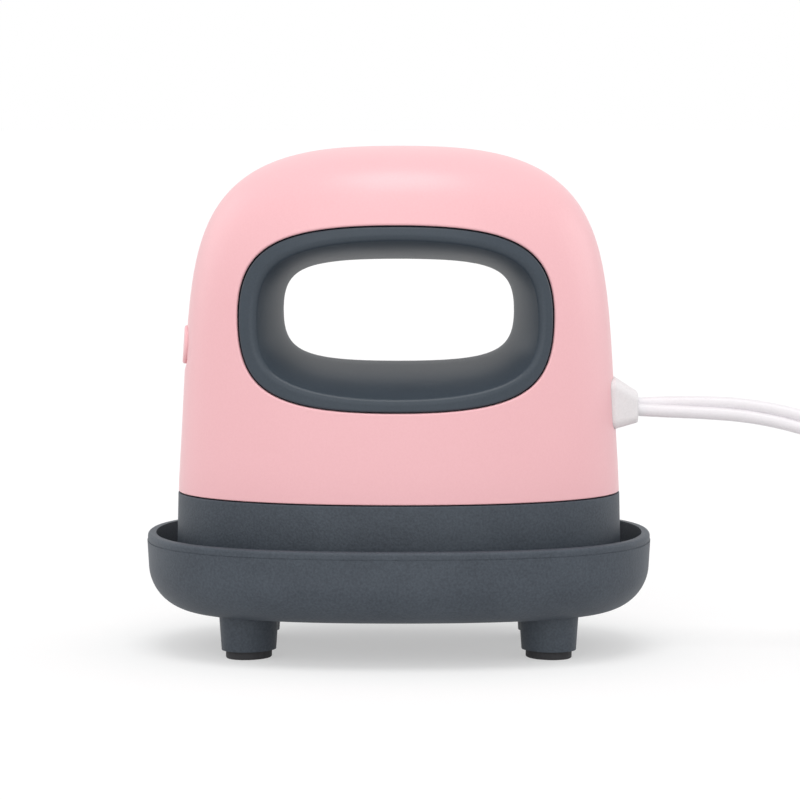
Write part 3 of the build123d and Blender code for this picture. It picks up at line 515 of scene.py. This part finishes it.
# Drawn wire and strip, clean grey
spring_steel = metal(
    "spring_steel", "#b4b4b4", "#8f9092",
    grain_mm=0.4, stretch=1, depth_mm=0.004, roughness=0.3,
)
dress(spring_steel, "sensor_straps", "button_spring")
# Rolled sheet keeps the fine lines of its rolling
pressed_aluminium = metal(
    "pressed_aluminium", "#cdcfd0", "#b9bbbd",
    grain_mm=0.6, stretch=25, depth_mm=0.005, roughness=0.33,
)
dress(pressed_aluminium, "heat_shield", "thermal_fuse")
# Felted white fibre: dead matt, with a coarse nap
ceramic_fibre = moulded_plastic(
    "ceramic_fibre", "#e6e1d5", "#d2ccbd",
    patch_mm=2, grain_mm=0.6, depth_mm=0.25, roughness=0.95, IOR=1.5,
)
dress(ceramic_fibre, "insulation_pad")

# ---------------------------------------------------------------- control board and wiring
# Glass-epoxy board under satin green solder mask, with a relay, a film and a bulk capacitor, a
# controller and a terminal block in moulded cases, the capacitors' the glossiest. The leads
# are silicone-insulated and slightly greasy.

board_mask = moulded_plastic(
    "solder_mask", "#24633c", "#1b5230",
    patch_mm=3, grain_mm=0.4, depth_mm=0.02, roughness=0.4, IOR=1.55,
)
dress(board_mask, "control_board", "switch_board")
relay_case = moulded_plastic(
    "relay_case", "#2c4f86", "#244474",
    patch_mm=5, grain_mm=0.4, depth_mm=0.02, roughness=0.45, IOR=1.55,
)
dress(relay_case, "relay")
film_case = moulded_plastic(
    "film_capacitor_case", "#cf9d2c", "#bd8b22",
    patch_mm=4, grain_mm=0.4, depth_mm=0.02, roughness=0.35, IOR=1.55,
)
dress(film_case, "film_capacitor")
can_sleeve = moulded_plastic(
    "shrunk_sleeve", "#20222e", "#181a24",
    patch_mm=4, grain_mm=0.5, depth_mm=0.01, roughness=0.3, IOR=1.5,
)
dress(can_sleeve, "bulk_capacitor")
epoxy = moulded_plastic(
    "moulded_epoxy", "#222224", "#18181a",
    patch_mm=2, grain_mm=0.3, depth_mm=0.02, roughness=0.55, IOR=1.55,
)
dress(epoxy, "controller_chip", "tact_switch", "thermistor")
terminal_green = moulded_plastic(
    "terminal_nylon", "#3d8656", "#347a4c",
    patch_mm=4, grain_mm=0.4, depth_mm=0.02, roughness=0.5, IOR=1.53,
)
dress(terminal_green, "terminal_block")
clamp_nylon = moulded_plastic(
    "natural_nylon", "#dfdccf", "#d3d0c2",
    patch_mm=4, grain_mm=0.5, depth_mm=0.02, roughness=0.5, IOR=1.53,
)
dress(clamp_nylon, "cord_clamp")
lead_silicone = moulded_plastic(
    "lead_silicone", "#d8d3cb", "#cbc6be",
    patch_mm=4, grain_mm=0.4, depth_mm=0.01, roughness=0.5, IOR=1.43,
)
dress(lead_silicone, "supply_leads", "heater_leads", "sensor_leads", "switch_leads")

# ---------------------------------------------------------------- power button and level lights
# The button is the housing's own pink ABS. Three light pipes of milky acrylic stand flush in the
# wall above it, over the lights on the switch board.

button_abs = moulded_plastic(
    "button_abs", "#f4bdc2", "#f1b8bd",
    patch_mm=8, grain_mm=0.5, depth_mm=0.01, roughness=0.34, IOR=1.54,
)
dress(button_abs, "power_button")
milky_acrylic = moulded_plastic(
    "milky_acrylic", "#fae6e8", "#f3d9dc",
    patch_mm=3, grain_mm=0.5, depth_mm=0.004, roughness=0.25, IOR=1.49,
)
dress(milky_acrylic, "level_lenses")
light_resin = moulded_plastic(
    "light_resin", "#f4f0d6", "#e8e3c4",
    patch_mm=1, grain_mm=0.4, depth_mm=0.004, roughness=0.2, IOR=1.5,
)
dress(light_resin, "level_lights")

# ---------------------------------------------------------------- table and light
# A plain white table that keeps the soft shadow under the base, and a white room. A wide soft
# light hangs overhead, one stands in front, and a weaker one behind each end draws its edge.

floor_half = 3.0  # metres
floor_white = "#dcdcdc"  # for the light that the table throws back
floor_seen, shown_lift = "#c0c0c0", 0.45  # seen directly it is darker, and glows up to white
table_top = mesh_object(
    "table_top",
    [(floor_half * x, floor_half * y, 0) for x, y in ((-1, -1), (1, -1), (1, 1), (-1, 1))],
    [(0, 1, 2, 3)],
)


def seen_directly(tree):
    """1 for what the camera, a glossy or a clear surface sees, and 0 for other light."""
    ray = add_node(tree, "ShaderNodeLightPath").outputs
    shown = add_node(
        tree,
        "ShaderNodeMath",
        {0: ray["Is Camera Ray"], 1: ray["Is Glossy Ray"]},
        operation="MAXIMUM",
    )
    shown_through = add_node(
        tree,
        "ShaderNodeMath",
        {0: shown.outputs[0], 1: ray["Is Transmission Ray"]},
        operation="MAXIMUM",
    )
    return shown_through.outputs[0]


table_paper, paper_tree = new_material("table_paper")
seen = seen_directly(paper_tree)
lift = add_node(paper_tree, "ShaderNodeMath", {0: seen}, operation="MULTIPLY")
lift.inputs[1].default_value = shown_lift
shade = add_node(paper_tree, "ShaderNodeMix", {"Factor": seen}, data_type="RGBA")
shade.inputs["A"].default_value = colour(floor_white)
shade.inputs["B"].default_value = colour(floor_seen)
paper = add_node(paper_tree, "ShaderNodeBsdfDiffuse", {"Color": shade.outputs["Result"]})
glow = add_node(paper_tree, "ShaderNodeEmission", {"Strength": lift.outputs[0]}, Color=(1, 1, 1, 1))
lit = add_node(paper_tree, "ShaderNodeAddShader", {0: paper.outputs[0], 1: glow.outputs[0]})
add_node(paper_tree, "ShaderNodeOutputMaterial", {"Surface": lit.outputs[0]})
table_top.data.materials.append(table_paper)

room_level = 0.74  # what the room gives the object; seen directly it is white
world = bpy.data.worlds.new("white_room")
world.use_nodes = True
room_tree = world.node_tree
room_tree.nodes.clear()
level = add_node(room_tree, "ShaderNodeMapRange", {"Value": seen_directly(room_tree)})
level.inputs["To Min"].default_value = room_level
level.inputs["To Max"].default_value = 1.0
sky = add_node(
    room_tree, "ShaderNodeBackground", {"Strength": level.outputs[0]}, Color=(1, 1, 1, 1)
)
add_node(room_tree, "ShaderNodeOutputWorld", {"Surface": sky.outputs[0]})
scene.world = world


def soft_light(name, towards, spread, power):
    """A far, wide light from a direction, its spread in degrees, that lights the table evenly."""
    data = bpy.data.lights.new(name, "SUN")
    data.angle = math.radians(spread)
    data.energy = power
    lamp = bpy.data.objects.new(name, data)
    lamp.location = Vector(towards)
    lamp.rotation_euler = Vector(towards).to_track_quat("Z", "Y").to_euler()
    scene.collection.objects.link(lamp)


soft_light("overhead", (0, -0.24, 0.97), 30, 0.8)
soft_light("front", (-0.12, -0.87, 0.4), 60, 0.64)
soft_light("left_edge", (-0.9, 0.45, 0.35), 40, 0.25)
soft_light("right_edge", (0.95, 0.25, 0.18), 40, 0.36)
